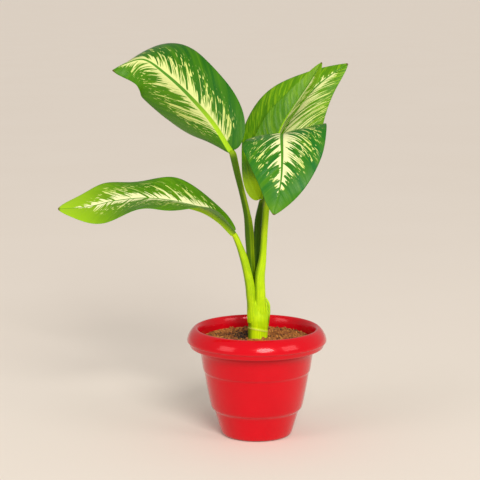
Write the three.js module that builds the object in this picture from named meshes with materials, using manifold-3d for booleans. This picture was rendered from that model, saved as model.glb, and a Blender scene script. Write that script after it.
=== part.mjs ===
// A potted dieffenbachia: a red plastic planter filled with coir potting mix, one short green cane and
// five leaves, each a lime petiole and a dark green blade. Millimetres, +Z up, the foot's centre at 0,0,0.
// The plant's front faces -Y.
import * as THREE from 'three';
import { mergeVertices } from 'three/addons/utils/BufferGeometryUtils.js';
import Module from 'manifold-3d';

// ---- driving dimensions ----
const CLEARANCE = 0.3; // between touching pieces

const POT_RIM_RADIUS = 75; // outside of the rolled lip: a planter sold as 15 cm
const POT_FLOOR = 2.4;
const POT_SIDES = 36;
const DRAIN_HOLES = 6;
const DRAIN_RADIUS = 3;
const DRAIN_RING_RADIUS = 24;
const DRAIN_SIDES = 12;

const SOIL_LEVEL = 106;
const SOIL_RADIUS = 60;
const SOIL_FALL = 2; // how much lower the soil lies by the pot's wall
const SOIL_SIDES = 32;
const SOIL_LUMP = 1.1; // height of the lumps
const SOIL_HOLLOW = { x: -17, y: -1, radius: 8, depth: 4.5 };
const SOIL_TOP_FROM = 100; // above it the soil's points are lumpy

const CANE_FOOT = 62; // the cane's foot, buried in the soil
const CANE_TOP = 160;
const CANE_SIDES = 16;
const CANE_ROWS = 14;

const PETIOLE_SIDES = 10;
const PETIOLE_ROWS = 18;
const PETIOLE_RUN_IN = 4; // straight stretch that meets the blade

const BLADE_THICKNESS = 0.9;
const BLADE_ROWS = 18;
const ROW_CROWDING = 1.3; // above 1 the rows crowd towards the base
const CURL_STEPS = 8; // straight steps that a half blade's curve is added up from
const KEEL_DEPTH = 5.6; // of the midrib under the blade, where the petiole joins it
const KEEL_HALF_WIDTH = 3.3;
const KEEL_SLIMMING = 0.85; // share of its width lost towards the tip
const KEEL_SHALLOWING = 0.9; // share of its depth lost towards the tip
const KEEL_ROUNDING = 0.8; // share of the keel's depth half way out to its edge
const KEEL_WIDEST = 0.8; // most of a half blade that the keel may take up
const RIB_MARGIN = 0.4; // least blade beside the keel
const RIB_SLIMMING = 0.8;
const OUTER_COLUMNS = 3; // from the keel's edge to the margin
const TANGENT_REACH = 0.1; // share of the midrib over which a row's direction is taken
const LOBE_REACH = 0.12; // share of the midrib over which the base lobes run back

const MERGE_WITHIN = 0.001; // points closer than this are one

// ---- the five leaves ----
// midrib: its route from the petiole to the tip. face: the way the upper side looks, from base to tip.
// halfWidths: the widest half, [left, right], seen on the upper side with the tip up. shape: how each half
// departs from a plain leaf outline, base to tip. fold: degrees that each half rises from the midrib.
// curl: degrees that it goes on rising by its margin. wave: height, number and phases of the waved margin.
// petiole: its route up to the last stretch, with its radii.
const LEAVES = {
  upper_left: {
    midrib: [[-28, 5, 306], [-47.5, 18, 335.5], [-72, 33, 362], [-97, 46, 384], [-121, 56, 399.5],
      [-142, 60, 395], [-156, 56, 388]],
    face: [[-0.35, -0.8, 0.5], [-0.35, -0.8, 0.5], [-0.4, -0.7, 0.6], [-0.4, -0.6, 0.8]],
    halfWidths: [40, 50],
    outline: { base: 0.5, tip: 0.7, lobe: [3, 5] },
    shape: [[0.33, 1.02, 1.31, 1.38, 1.4], [0.92, 0.83, 0.86, 1.12, 1.3]],
    fold: [[-15, -25, -25, -20], [10, 5, -4, -40]],
    curl: [[-50, -45, -30], [-15, -20, -30]],
    wave: { height: 2, count: 2, phase: [0, 0.3] },
    petiole: [[-4.5, 4, 148], [-5.5, 4.5, 172], [-7, 6, 195], [-8.8, 5.5, 225], [-11.8, 5, 245],
      [-20.5, 5, 281]],
    radii: [4.2, 4.2, 4.1, 4.6, 3.7, 3.2, 3.5, 3.8],
  },
  lower_left: {
    midrib: [[-24, -6, 221.5], [-38, -9, 235.5], [-55, -13, 246.5], [-75, -18, 253], [-97, -22, 258],
      [-122, -26, 260], [-150, -30, 257.5], [-176, -33, 252], [-207, -36, 250]],
    face: [[0.5, -0.25, 1], [0.1, -0.25, 1], [0, -0.32, 1], [0, -0.45, 1]],
    halfWidths: [42, 44],
    outline: { base: 0.5, tip: 0.7, lobe: [4, 4] },
    shape: [[0.7, 0.91, 1.05, 1.15], [0.32, 0.7, 0.88, 1.08]],
    fold: [[22, 22, 10, -4, 2], [32, 26, 21, 13, 10]],
    curl: [[0, -5, -10], [0, -5, -10]],
    wave: { height: 5, count: 2.3, phase: [0.84, 0.445] },
    petiole: [[-6, -4, 148], [-7.5, -4.5, 163], [-10, -5, 177], [-13.5, -6, 192], [-18.4, -5.6, 206]],
    radii: [5, 4.9, 4.6, 4.4, 3.5, 3],
  },
  back_right: {
    midrib: [[6, 24, 252], [14, 38, 293], [29, 52, 323], [47, 64, 350], [71, 74, 374], [100, 80, 394]],
    face: [[-0.1, -1, 0.2], [-0.1, -1, 0.3], [-0.2, -0.9, 0.5], [-0.1, -0.9, 0.6]],
    halfWidths: [45, 44],
    outline: { base: 0.5, tip: 0.8, lobe: [7, 5] },
    shape: [[0.85, 0.76, 0.98, 1.03, 0.86, 0.65], [1, 1, 0.97, 0.8, 0.8]],
    fold: [[10], [10]],
    curl: [[-30], [-40]],
    wave: { height: 3, count: 2, phase: [0, 0.3] },
    petiole: [[0, 8, 148], [0, 9.5, 172], [0.5, 13, 200], [1.5, 17, 228]],
    radii: [4.3, 4.3, 4.1, 4, 3.6],
  },
  front_right: {
    midrib: [[28, 12, 313], [27.5, 3, 322], [26, -14, 326], [25, -36, 322], [25, -56, 304],
      [23, -70, 280], [16, -78, 250]],
    face: [[0, -0.5, 1], [0, -0.2, 1], [0, -0.5, 1], [0, -0.8, 0.6], [0.1, -1, 0.3]],
    halfWidths: [48, 45],
    outline: { base: 0.45, tip: 0.8, lobe: [5, 4] },
    shape: [[1.15, 1.02, 0.92, 0.78], [0.94, 0.95, 0.9, 0.85]],
    fold: [[16, 18, 10, 5], [0, 0, 3, 5]],
    curl: [[-10, -10, -20, -20], [-20]],
    wave: { height: 2, count: 1.5, phase: [0, 0.3] },
    petiole: [[3.5, -3.5, 148], [3.2, -3.5, 172], [6.2, -3, 193], [8.4, -2, 226], [10.6, 1, 250],
      [16.5, 6, 276], [22.5, 12, 295]],
    radii: [6, 5.4, 3.7, 3.4, 3.4, 3.4, 3.4, 3.5],
  },
  inner: {
    midrib: [[10, 18, 262], [17, 28, 294], [26, 34, 326], [37, 38, 346], [47, 42, 361], [58, 46, 377],
      [70, 49, 397]],
    face: [[-0.2, -1, 0.2], [-0.2, -1, 0.2], [-0.2, -1, 0.3]],
    halfWidths: [28, 24],
    outline: { base: 0.5, tip: 0.8, lobe: [2, 2] },
    shape: [[0.6, 0.95, 0.8, 0.66, 0.75], [0.3, 0.35, 0.8, 1, 1.25]],
    fold: [[5], [70, 65, 38]],
    curl: [[10, 0, 0], [0]],
    wave: { height: 1, count: 1.5, phase: [0, 0.3] },
    petiole: [[4.5, 4.5, 150], [5.5, 5.5, 190], [7.5, 8, 215], [9, 12, 240]],
    radii: [3.2, 3.4, 3.4, 3.2, 3],
  },
};

const RED_PLASTIC = { color: 0xc8102e, roughness: 0.28, metalness: 0 };
const COIR = { color: 0x6b4423, roughness: 0.95, metalness: 0 };
const CANE_GREEN = { color: 0x9ac926, roughness: 0.45, metalness: 0 };
const PETIOLE_GREEN = { color: 0x7fb524, roughness: 0.42, metalness: 0 };
const BLADE_GREEN = { color: 0x3f8a2c, roughness: 0.38, metalness: 0 };

// ---- curves ----
// Catmull-Rom through evenly spaced numbers, t from 0 to 1
function along(values, t) {
  const last = values.length - 1;
  if (last === 0) return values[0];
  const place = THREE.MathUtils.clamp(t, 0, 1) * last;
  const i = Math.min(Math.floor(place), last - 1);
  const f = place - i;
  const [b, c] = [values[i], values[i + 1]];
  const a = i > 0 ? values[i - 1] : 2 * b - c;
  const d = i + 2 <= last ? values[i + 2] : 2 * c - b;
  return 0.5 * (2 * b + (c - a) * f + (2 * a - 5 * b + 4 * c - d) * f * f + (3 * b - a - 3 * c + d) * f ** 3);
}

function route(points) {
  const stops = points.map((p) => new THREE.Vector3(...p));
  return new THREE.CatmullRomCurve3(stops, false, 'catmullrom', 0.5);
}

function vectorAlong(vectors, t) {
  return new THREE.Vector3(...[0, 1, 2].map((axis) => along(vectors.map((v) => v[axis]), t)));
}

// ---- leaf surface ----
// A plain leaf outline: 0 at both ends, 1 at the widest place
function leafOutline(u, { base, tip }) {
  const widest = base / (base + tip);
  return (u ** base * (1 - u) ** tip) / (widest ** base * (1 - widest) ** tip);
}

class Leaf {
  constructor(spec) {
    Object.assign(this, spec);
    this.rib = route(spec.midrib);
  }

  // place, direction, upper normal and rightward direction at the share u of the midrib
  frame(u) {
    const ahead = this.rib.getPointAt(Math.min(u + TANGENT_REACH, 1));
    const behind = this.rib.getPointAt(Math.max(u - TANGENT_REACH, 0));
    const forward = ahead.sub(behind).normalize();
    const normal = vectorAlong(this.face, u);
    normal.addScaledVector(forward, -normal.dot(forward)).normalize();
    return { place: this.rib.getPointAt(u), forward, normal, right: forward.clone().cross(normal) };
  }

  ribHalfWidth(u) {
    return (KEEL_HALF_WIDTH + RIB_MARGIN) * (1 - RIB_SLIMMING * u);
  }

  halfWidth(u, half) {
    const plain = this.halfWidths[half] * leafOutline(u, this.outline) * along(this.shape[half], u);
    return Math.hypot(plain, this.ribHalfWidth(u));
  }

  // a point of the blade's middle surface, v from -1 at the left margin to 1 at the right one
  point(u, v) {
    const { place, forward, normal, right } = this.frame(u);
    const half = v < 0 ? 0 : 1;
    const out = Math.abs(v);
    const width = this.halfWidth(u, half);
    const fold = THREE.MathUtils.degToRad(along(this.fold[half], u));
    const curl = THREE.MathUtils.degToRad(along(this.curl[half], u));
    let across = 0;
    let rise = 0;
    for (let i = 0; i < CURL_STEPS; i += 1) {
      const angle = fold + curl * out * (i + 0.5) / CURL_STEPS;
      across += Math.cos(angle) * width * out / CURL_STEPS;
      rise += Math.sin(angle) * width * out / CURL_STEPS;
    }
    const swell = Math.sin(2 * Math.PI * (this.wave.count * u + this.wave.phase[half]));
    rise += this.wave.height * out ** 2 * Math.sin(Math.PI * u) * swell;
    const beside = 1 - this.ribHalfWidth(u) / width;
    const back = this.outline.lobe[half] * out ** 2 * Math.exp(-u / LOBE_REACH) * beside;
    return place.addScaledVector(right, Math.sign(v) * across)
      .addScaledVector(normal, rise)
      .addScaledVector(forward, -back);
  }
}

// ---- solids ----
// the columns of one row: how far out each lies and how much of the keel hangs under it
function bladeColumns(leaf, u) {
  const side = (half) => {
    const keelShare = KEEL_HALF_WIDTH * (1 - KEEL_SLIMMING * u) / leaf.halfWidth(u, half);
    const keelEdge = Math.min(keelShare, KEEL_WIDEST);
    const columns = [{ v: keelEdge / 2, keel: KEEL_ROUNDING }];
    for (let i = 0; i <= OUTER_COLUMNS; i += 1) {
      columns.push({ v: keelEdge + (1 - keelEdge) * i / OUTER_COLUMNS, keel: 0 });
    }
    return columns;
  };
  const left = side(0).reverse().map(({ v, keel }) => ({ v: -v, keel }));
  return [...left, { v: 0, keel: 1 }, ...side(1)];
}

function surfaceNormal(rows, i, j) {
  const up = rows[Math.min(i + 1, rows.length - 1)][j].clone().sub(rows[Math.max(i - 1, 0)][j]);
  const acrossEnd = rows[i][Math.min(j + 1, rows[i].length - 1)];
  const across = acrossEnd.clone().sub(rows[i][Math.max(j - 1, 0)]);
  return across.cross(up).normalize();
}

// A closed sheet: a grid of points over another one, split into triangles alike, joined round the edge
function closedSheet(upper, lower) {
  const rows = upper.length;
  const columns = upper[0].length;
  const positions = [...upper.flat(), ...lower.flat()].flatMap((p) => [p.x, p.y, p.z]);
  const under = rows * columns;
  const at = (i, j) => i * columns + j;
  const index = [];
  for (let i = 0; i < rows - 1; i += 1) {
    for (let j = 0; j < columns - 1; j += 1) {
      const [a, b, c, d] = [at(i, j), at(i, j + 1), at(i + 1, j + 1), at(i + 1, j)];
      index.push(a, b, c, a, c, d);
      index.push(under + a, under + c, under + b, under + a, under + d, under + c);
    }
  }
  const edge = [];
  for (let j = 0; j < columns - 1; j += 1) edge.push(at(0, j));
  for (let i = 0; i < rows - 1; i += 1) edge.push(at(i, columns - 1));
  for (let j = columns - 1; j > 0; j -= 1) edge.push(at(rows - 1, j));
  for (let i = rows - 1; i > 0; i -= 1) edge.push(at(i, 0));
  edge.forEach((a, k) => {
    const b = edge[(k + 1) % edge.length];
    index.push(a, under + a, under + b, a, under + b, b);
  });
  const geometry = new THREE.BufferGeometry();
  geometry.setAttribute('position', new THREE.Float32BufferAttribute(positions, 3));
  geometry.setIndex(index);
  return geometry;
}

function bladeGeometry(leaf) {
  const middle = [];
  const keels = [];
  for (let i = 0; i <= BLADE_ROWS; i += 1) {
    const u = (i / BLADE_ROWS) ** ROW_CROWDING;
    const columns = bladeColumns(leaf, u);
    middle.push(columns.map(({ v }) => leaf.point(u, v)));
    keels.push(columns.map(({ keel }) => keel * KEEL_DEPTH * (1 - KEEL_SHALLOWING * u)));
  }
  const shifted = (away) => middle.map((row, i) => row.map((p, j) => {
    return p.clone().addScaledVector(surfaceNormal(middle, i, j), away(i, j));
  }));
  const upper = shifted(() => BLADE_THICKNESS / 2);
  const lower = shifted((i, j) => -BLADE_THICKNESS / 2 - keels[i][j]);
  return closedSheet(upper, lower);
}

// A round rod bent along a route, its radius given from end to end
function rodGeometry(curve, radii, sides, rows) {
  const geometry = new THREE.CylinderGeometry(1, 1, 1, sides, rows);
  const positions = geometry.attributes.position;
  const away = new THREE.Vector3(0, -1, 0);
  const p = new THREE.Vector3();
  for (let i = 0; i < positions.count; i += 1) {
    p.fromBufferAttribute(positions, i);
    const t = THREE.MathUtils.clamp(p.y + 0.5, 0, 1);
    const forward = curve.getTangentAt(t);
    const right = forward.clone().cross(away).normalize();
    const front = right.clone().cross(forward);
    const radius = along(radii, t);
    const place = curve.getPointAt(t).addScaledVector(right, p.x * radius).addScaledVector(front, p.z * radius);
    positions.setXYZ(i, place.x, place.y, place.z);
  }
  return geometry;
}

// the petiole's route ends under the blade's base, centred on its keel and in line with it
function petioleGeometry(leaf, extra) {
  const { place, forward, normal } = leaf.frame(0);
  const end = place.clone().addScaledVector(normal, -KEEL_DEPTH / 2).addScaledVector(forward, -CLEARANCE);
  const before = end.clone().addScaledVector(forward, -PETIOLE_RUN_IN);
  const curve = route([...leaf.petiole, before.toArray(), end.toArray()]);
  const radii = leaf.radii.map((r) => r + extra);
  return rodGeometry(curve, radii, PETIOLE_SIDES, PETIOLE_ROWS);
}

function caneGeometry(extra) {
  const curve = route([[2, 0, CANE_FOOT - extra], [1.6, 0, 85], [1.1, 0, 107], [1.9, 0, 128], [1.2, 0, 147],
    [-1.4, 0, CANE_TOP]]);
  const radii = [6, 8.6, 10, 10.7, 11.2, 11.7, 12.3, 11.8, 9.6].map((r) => r + extra);
  return rodGeometry(curve, radii, CANE_SIDES, CANE_ROWS);
}

// ---- pot ----
function potOutside() {
  const rim = POT_RIM_RADIUS;
  return [
    [0, 0], [35.2, 0], [37.3, 0.9], [38.6, 3.2], // foot
    [41.4, 13], [44, 22], [45.2, 26.6], [46.4, 28.2], [48.6, 29.4], [49.7, 32], // ledge over the foot
    [51.6, 41.5], [53.4, 51], [55, 60.5], [56.4, 69.4], [57.7, 71.6], // belly up to the fine step
    [59.1, 80.5], [60.4, 90.6], [62.4, 92.2], [62.7, 96], // wall up to the band under the lip
    [63.2, 107], [65.2, 111.6], [68.2, 112.6], [71, 110.4], [72.8, 105.6], // up into the hollow lip
    [rim - 2, 99.4], [rim - 1, 98.4], [rim - 0.2, 99.4], [rim, 102.2], // skirt of the lip
    [rim - 0.8, 106.6], [rim - 2.6, 111.2], [rim - 5.4, 115.2], [rim - 8.6, 117.4], // lip
    [rim - 10.4, 117], [63.2, 115.6],
  ];
}

function potInside(away) {
  return [
    [61.3, 110.5], [60.5, 95], [58.3, 89], [55.6, 72.8], [54.2, 68.6], [51.2, 50.6], [47.4, 31.8],
    [46.4, 30.6], [44.2, 28.6], [43, 26], [39.2, 13], [36.6, 4.4], [34.8, POT_FLOOR], [0, POT_FLOOR],
  ].map(([r, z]) => [Math.max(r - away, 0), Math.max(z, POT_FLOOR + away)]);
}

function lathe(profile, sides) {
  return new THREE.LatheGeometry(profile.map(([r, z]) => new THREE.Vector2(r, z)), sides).rotateX(Math.PI / 2);
}

function drainGeometry(turn) {
  const hole = new THREE.CylinderGeometry(DRAIN_RADIUS, DRAIN_RADIUS, 4 * POT_FLOOR, DRAIN_SIDES);
  hole.rotateX(Math.PI / 2);
  return hole.translate(DRAIN_RING_RADIUS * Math.cos(turn), DRAIN_RING_RADIUS * Math.sin(turn), 0);
}

// ---- soil ----
function soilHeight(x, y) {
  const lumps = Math.sin(0.55 * x + 1.1) * Math.cos(0.47 * y) + 0.6 * Math.sin(0.31 * (x + y) + 2);
  const fromHollow = Math.hypot(x - SOIL_HOLLOW.x, y - SOIL_HOLLOW.y) / SOIL_HOLLOW.radius;
  return SOIL_LUMP * lumps - SOIL_HOLLOW.depth * Math.exp(-(fromHollow ** 2));
}

function soilGeometry() {
  const topRings = [59.4, 56, 50, 44, 38, 32, 26, 20, 14, 0];
  const wall = potInside(CLEARANCE).filter(([, z]) => z < SOIL_TOP_FROM).reverse();
  const top = topRings.map((r) => [r, SOIL_LEVEL - SOIL_FALL * (r / SOIL_RADIUS) ** 6]);
  const geometry = lathe([...wall, ...top], SOIL_SIDES);
  const positions = geometry.attributes.position;
  for (let i = 0; i < positions.count; i += 1) {
    const [x, y, z] = [positions.getX(i), positions.getY(i), positions.getZ(i)];
    if (z > SOIL_TOP_FROM) positions.setZ(i, z + soilHeight(x, y));
  }
  return geometry;
}

// ---- joining and cutting ----
const wasm = await Module();
wasm.setup();

function solid(geometry) {
  geometry.deleteAttribute('normal');
  geometry.deleteAttribute('uv');
  const merged = mergeVertices(geometry, MERGE_WITHIN);
  const triVerts = dropThinTriangles(merged.index.array);
  const vertProperties = new Float32Array(merged.attributes.position.array);
  return new wasm.Manifold(new wasm.Mesh({ numProp: 3, vertProperties, triVerts }));
}

// triangles that lost a side when their points were merged, as on an axis or at a pole
function dropThinTriangles(index) {
  const kept = [];
  for (let i = 0; i < index.length; i += 3) {
    const [a, b, c] = index.slice(i, i + 3);
    if (a !== b && b !== c && c !== a) kept.push(a, b, c);
  }
  return new Uint32Array(kept);
}

function largestBody(manifold) {
  const bodies = manifold.decompose();
  return bodies.reduce((best, body) => (body.volume() > best.volume() ? body : best));
}

function meshOf(name, manifold, look) {
  const { numProp, vertProperties, triVerts } = largestBody(manifold).getMesh();
  if (numProp !== 3) throw new Error(`${name}: positions only`);
  const geometry = new THREE.BufferGeometry();
  geometry.setAttribute('position', new THREE.BufferAttribute(new Float32Array(vertProperties), 3));
  geometry.setIndex(new THREE.BufferAttribute(new Uint32Array(triVerts), 1));
  geometry.computeVertexNormals();
  const mesh = new THREE.Mesh(geometry, new THREE.MeshStandardMaterial(look));
  mesh.name = name;
  return mesh;
}

// ---- the plant ----
const plant = new THREE.Group();

let pot = solid(lathe([...potOutside(), ...potInside(0)], POT_SIDES));
for (let i = 0; i < DRAIN_HOLES; i += 1) {
  pot = pot.subtract(solid(drainGeometry(2 * Math.PI * i / DRAIN_HOLES)));
}
plant.add(meshOf('pot', pot, RED_PLASTIC));

const soil = solid(soilGeometry()).subtract(solid(caneGeometry(CLEARANCE)));
plant.add(meshOf('soil', soil, COIR));

// each petiole is cut clear of those already placed, and the cane of them all
const leaves = Object.entries(LEAVES).map(([name, spec]) => [name, new Leaf(spec)]);
const cutOrder = ['front_right', 'lower_left', 'upper_left', 'back_right', 'inner'];
let cane = solid(caneGeometry(0));
const taken = [];
for (const wanted of cutOrder) {
  const [name, leaf] = leaves.find(([each]) => each === wanted);
  let petiole = solid(petioleGeometry(leaf, 0));
  for (const other of taken) petiole = petiole.subtract(other);
  const room = solid(petioleGeometry(leaf, CLEARANCE));
  taken.push(room);
  cane = cane.subtract(room);
  plant.add(meshOf(`petiole_${name}`, petiole, PETIOLE_GREEN));
  plant.add(meshOf(`blade_${name}`, solid(bladeGeometry(leaf)), BLADE_GREEN));
}
plant.add(meshOf('cane', cane, CANE_GREEN));

export default plant;
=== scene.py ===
"""A potted dieffenbachia: a glossy red planter of coir, a short cane and five variegated leaves."""

import math
import random

import bmesh
import bpy
from bpy.props import FloatProperty, FloatVectorProperty, IntProperty, PointerProperty
from mathutils import Matrix, Vector, noise


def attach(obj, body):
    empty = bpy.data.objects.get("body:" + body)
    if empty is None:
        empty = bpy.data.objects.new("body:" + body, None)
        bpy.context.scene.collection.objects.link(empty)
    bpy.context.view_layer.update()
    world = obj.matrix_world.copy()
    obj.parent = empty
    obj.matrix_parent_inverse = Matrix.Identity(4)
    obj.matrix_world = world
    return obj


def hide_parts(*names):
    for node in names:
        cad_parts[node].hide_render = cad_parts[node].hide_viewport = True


bl_info = {
    "name": "Potted dieffenbachia",
    "version": (1, 0, 0),
    "blender": (4, 5, 0),
    "location": "3D View > Sidebar > Plant",
    "description": "Adds a potted dieffenbachia piece by piece around its packed solids",
    "category": "Add Mesh",
}

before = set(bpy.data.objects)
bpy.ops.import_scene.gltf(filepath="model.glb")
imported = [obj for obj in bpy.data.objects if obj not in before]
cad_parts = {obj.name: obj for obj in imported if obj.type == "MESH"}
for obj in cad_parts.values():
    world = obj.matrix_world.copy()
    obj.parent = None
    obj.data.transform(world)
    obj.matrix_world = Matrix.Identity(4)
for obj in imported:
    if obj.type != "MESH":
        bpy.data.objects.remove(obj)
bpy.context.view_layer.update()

MM = 0.001
BODY = "root"
PLANT_MIDDLE = Vector((0, 0, 0.25))

# ---- sizes in millimetres, the same as the solids' ----
BLADE_THICKNESS = 0.9
ROW_CROWDING = 1.3
CURL_STEPS = 8
KEEL_DEPTH = 5.6
KEEL_HALF_WIDTH = 3.3
KEEL_SLIMMING = 0.85
KEEL_SHALLOWING = 0.9
KEEL_WIDEST = 0.8  # share of the half width
RIB_MARGIN = 0.4
RIB_SLIMMING = 0.8
TANGENT_REACH = 0.1
LOBE_REACH = 0.12
PETIOLE_RUN_IN = 4
PETIOLE_GAP = 0.3

# midrib, petiole: points that a curve runs through. face: the way that the upper face turns, from the
# foot to the tip. half_widths: left and right. outline: powers that shape the base and the tip, and how
# far each base lobe runs back. shape: what the half width is multiplied by along each half. fold, curl:
# degrees by which each half rises at the midrib and bends on its way out. wave: height, count and phases
# of the margin's waves. radii: the petiole's, from its foot up.
LEAVES = {
    "upper_left": {
        "midrib": [(-28, 5, 306), (-47.5, 18, 335.5), (-72, 33, 362), (-97, 46, 384),
                   (-121, 56, 399.5), (-142, 60, 395), (-156, 56, 388)],
        "face": [(-0.35, -0.8, 0.5), (-0.35, -0.8, 0.5), (-0.4, -0.7, 0.6), (-0.4, -0.6, 0.8)],
        "half_widths": (40, 50),
        "outline": (0.5, 0.7, (3, 5)),
        "shape": ([0.33, 1.02, 1.31, 1.38, 1.4], [0.92, 0.83, 0.86, 1.12, 1.3]),
        "fold": ([-15, -25, -25, -20], [10, 5, -4, -40]),
        "curl": ([-50, -45, -30], [-15, -20, -30]),
        "wave": (2, 2, (0, 0.3)),
        "petiole": [(-4.5, 4, 148), (-5.5, 4.5, 172), (-7, 6, 195), (-8.8, 5.5, 225),
                    (-11.8, 5, 245), (-20.5, 5, 281)],
        "radii": [4.2, 4.2, 4.1, 4.6, 3.7, 3.2, 3.5, 3.8],
    },
    "lower_left": {
        "midrib": [(-24, -6, 221.5), (-38, -9, 235.5), (-55, -13, 246.5), (-75, -18, 253),
                   (-97, -22, 258), (-122, -26, 260), (-150, -30, 257.5), (-176, -33, 252),
                   (-207, -36, 250)],
        "face": [(0.5, -0.25, 1), (0.1, -0.25, 1), (0, -0.32, 1), (0, -0.45, 1)],
        "half_widths": (42, 44),
        "outline": (0.5, 0.7, (4, 4)),
        "shape": ([0.7, 0.91, 1.05, 1.15], [0.32, 0.7, 0.88, 1.08]),
        "fold": ([22, 22, 10, -4, 2], [32, 26, 21, 13, 10]),
        "curl": ([0, -5, -10], [0, -5, -10]),
        "wave": (5, 2.3, (0.84, 0.445)),
        "petiole": [(-6, -4, 148), (-7.5, -4.5, 163), (-10, -5, 177), (-13.5, -6, 192),
                    (-18.4, -5.6, 206)],
        "radii": [5, 4.9, 4.6, 4.4, 3.5, 3],
    },
    "back_right": {
        "midrib": [(6, 24, 252), (14, 38, 293), (29, 52, 323), (47, 64, 350), (71, 74, 374),
                   (100, 80, 394)],
        "face": [(-0.1, -1, 0.2), (-0.1, -1, 0.3), (-0.2, -0.9, 0.5), (-0.1, -0.9, 0.6)],
        "half_widths": (45, 44),
        "outline": (0.5, 0.8, (7, 5)),
        "shape": ([0.85, 0.76, 0.98, 1.03, 0.86, 0.65], [1, 1, 0.97, 0.8, 0.8]),
        "fold": ([10], [10]),
        "curl": ([-30], [-40]),
        "wave": (3, 2, (0, 0.3)),
        "petiole": [(0, 8, 148), (0, 9.5, 172), (0.5, 13, 200), (1.5, 17, 228)],
        "radii": [4.3, 4.3, 4.1, 4, 3.6],
    },
    "front_right": {
        "midrib": [(28, 12, 313), (27.5, 3, 322), (26, -14, 326), (25, -36, 322), (25, -56, 304),
                   (23, -70, 280), (16, -78, 250)],
        "face": [(0, -0.5, 1), (0, -0.2, 1), (0, -0.5, 1), (0, -0.8, 0.6), (0.1, -1, 0.3)],
        "half_widths": (48, 45),
        "outline": (0.45, 0.8, (5, 4)),
        "shape": ([1.15, 1.02, 0.92, 0.78], [0.94, 0.95, 0.9, 0.85]),
        "fold": ([16, 18, 10, 5], [0, 0, 3, 5]),
        "curl": ([-10, -10, -20, -20], [-20]),
        "wave": (2, 1.5, (0, 0.3)),
        "petiole": [(3.5, -3.5, 148), (3.2, -3.5, 172), (6.2, -3, 193), (8.4, -2, 226),
                    (10.6, 1, 250), (16.5, 6, 276), (22.5, 12, 295)],
        "radii": [6, 5.4, 3.7, 3.4, 3.4, 3.4, 3.4, 3.5],
    },
    "inner": {
        "midrib": [(10, 18, 262), (17, 28, 294), (26, 34, 326), (37, 38, 346), (47, 42, 361),
                   (58, 46, 377), (70, 49, 397)],
        "face": [(-0.2, -1, 0.2), (-0.2, -1, 0.2), (-0.2, -1, 0.3)],
        "half_widths": (28, 24),
        "outline": (0.5, 0.8, (2, 2)),
        "shape": ([0.6, 0.95, 0.8, 0.66, 0.75], [0.3, 0.35, 0.8, 1, 1.25]),
        "fold": ([5], [70, 65, 38]),
        "curl": ([10, 0, 0], [0]),
        "wave": (1, 1.5, (0, 0.3)),
        "petiole": [(4.5, 4.5, 150), (5.5, 5.5, 190), (7.5, 8, 215), (9, 12, 240)],
        "radii": [3.2, 3.4, 3.4, 3.2, 3],
    },
}

# How each leaf is marked; PLAIN_MARKS holds what a leaf doesn't name. A pair is (left half, right half).
# seed: moves its patterns. coarse: how broad its cream streaks are. cream: share of the half width that
# the longest ones reach. solid: share of that reach that is cream all along. split: how far they part.
# gaps: how much green breaks them up. slope: how far a streak runs forward for each millimetre outwards.
# white: how much the cream whitens towards the midrib. start: share of the length where it begins. end:
# shares where it starts to fade and where it is gone, in both halves. light: painted light and shade, how
# lit a half is painted, 0 for the deep green, 1 for the bright one. cool: how much painted bluish sheen,
# a painted reflection, the deep green takes. mottle: how much young green flecks it. young: how lime the
# tip
# is, and from where on. base: how lime the left base lobe is, partly its own lime and partly painted
# light
# glowing through it. rib: the midrib's width, and the shares of the length between which it turns from
# lime to green.
PLAIN_MARKS = {"coarse": 1.0, "split": 0.0, "cool": 0.0, "mottle": 0.0, "solid": 0.0, "gaps": 1.0,
               "start": (0.0, 0.0), "young": (0.0, 0.9), "base": 0.0}
MARKINGS = {
    "upper_left": {
        "seed": 1.0, "coarse": 1.25, "split": 0.35, "cool": 0.35, "cream": (0.56, 0.56), "solid": 0.12,
        "slope": (1.7, 1.15), "white": 0.35, "start": (0.06, 0.0), "end": (0.86, 0.99),
        "light": (0.7, 0.2), "rib": (3.1, 0.1, 0.5),
    },
    "lower_left": {
        "seed": 2.0, "split": 0.2, "mottle": 0.1, "cream": (0.55, 0.62), "gaps": 0.9,
        "slope": (0.7, 0.9), "white": 1.0, "start": (0.06, 0.06), "end": (0.72, 0.96),
        "light": (0.7, 0.75), "young": (1.0, 0.6), "rib": (1.7, 0.0, 0.2),
    },
    "back_right": {
        "seed": 3.0, "split": 0.4, "cool": 0.1, "mottle": 0.45, "cream": (0.3, 0.84),
        "slope": (1.2, 2.7), "white": 0.5, "start": (0.1, 0.0), "end": (0.8, 1.0),
        "light": (1.0, 0.95), "base": 1.0, "rib": (2.8, 0.1, 0.6),
    },
    "front_right": {
        "seed": 4.0, "coarse": 1.15, "split": 0.7, "cool": 0.75, "cream": (0.72, 0.72),
        "slope": (0.7, 0.8), "white": 0.9, "end": (0.58, 0.93), "light": (0.2, 0.3),
        "young": (0.2, 0.8), "rib": (2.6, 0.0, 0.12),
    },
    "inner": {
        "seed": 5.0, "cool": 0.2, "mottle": 0.2, "cream": (0.03, 0.9), "solid": 0.25,
        "slope": (1.0, 1.2), "white": 0.5, "start": (0.1, 0.0), "end": (0.75, 1.0),
        "light": (0.75, 1.2), "young": (0.3, 0.6), "base": 0.3, "rib": (2.4, 0.35, 0.8),
    },
}

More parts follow.
